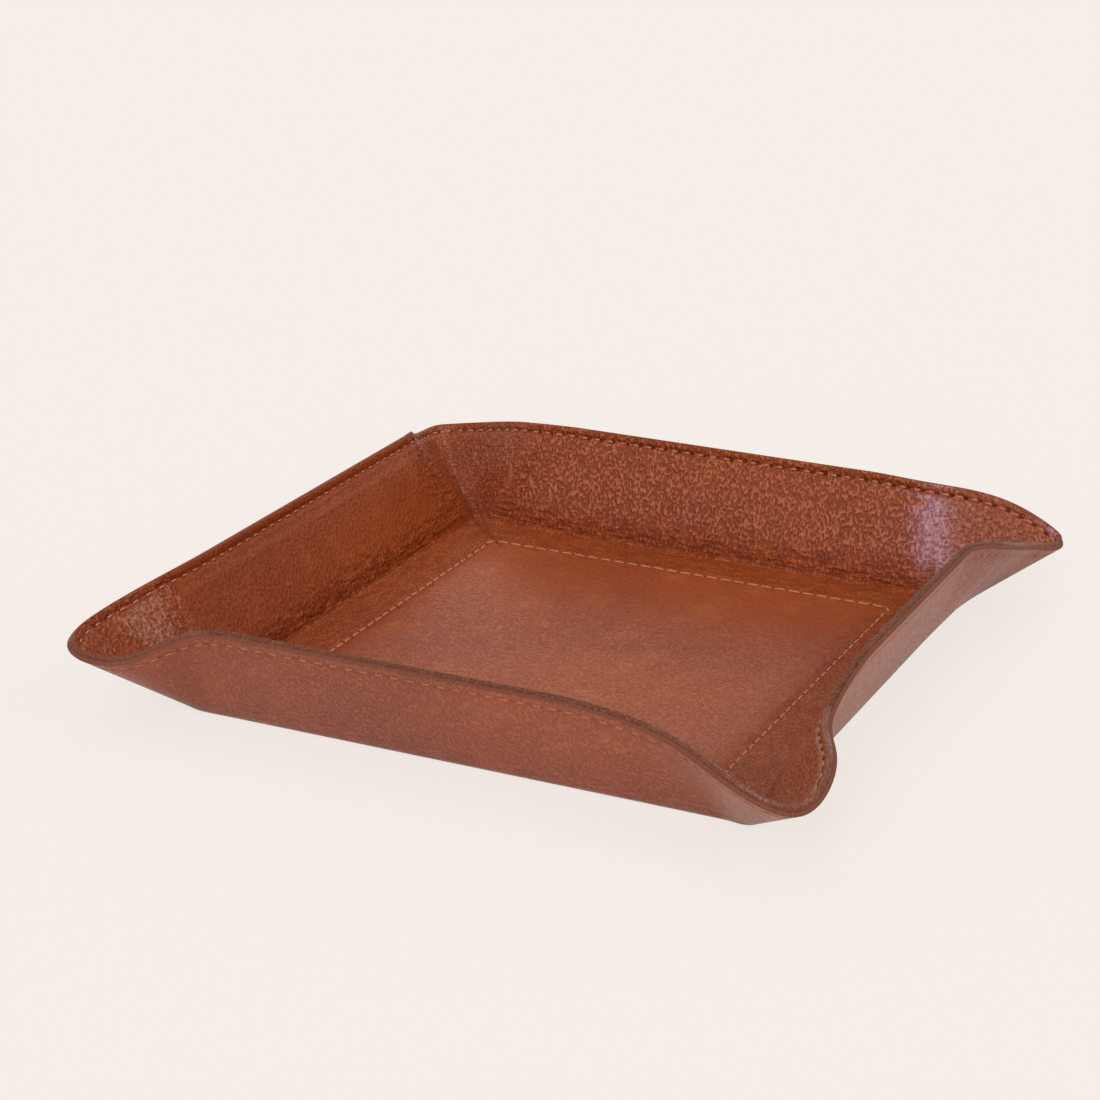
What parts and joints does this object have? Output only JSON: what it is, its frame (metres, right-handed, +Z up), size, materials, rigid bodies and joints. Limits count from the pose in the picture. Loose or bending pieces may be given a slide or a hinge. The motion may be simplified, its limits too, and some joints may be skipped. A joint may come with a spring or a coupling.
{
  "type": "valet tray",
  "caption": "Shallow square leather tray with leaning walls, folded open spouts at its corners, stiffened floor and walls, and stitched edges.",
  "frame": {"origin": "centre of the underside, on the surface that the tray stands on", "axes": "+Z up; +X and +Y square to the walls, so the spouts point along the diagonals"},
  "size_m": [0.2112, 0.2112, 0.0325],
  "materials": {
    "outer_leather": "milled full-grain, satin",
    "lining_leather": "milled full-grain, satin",
    "stiffener_board": "bonded leather board, matte",
    "rim_thread": "waxed thread",
    "base_thread": "waxed thread"
  },
  "bodies": {
    "root": {"outer_leather": "outer_leather", "lining": "lining_leather", "base_board": "stiffener_board", "wall_board_right": "stiffener_board", "wall_board_back": "stiffener_board", "wall_board_left": "stiffener_board", "wall_board_front": "stiffener_board", "rim_seam": "rim_thread", "base_seam": "base_thread"}
  },
  "joints": []
}
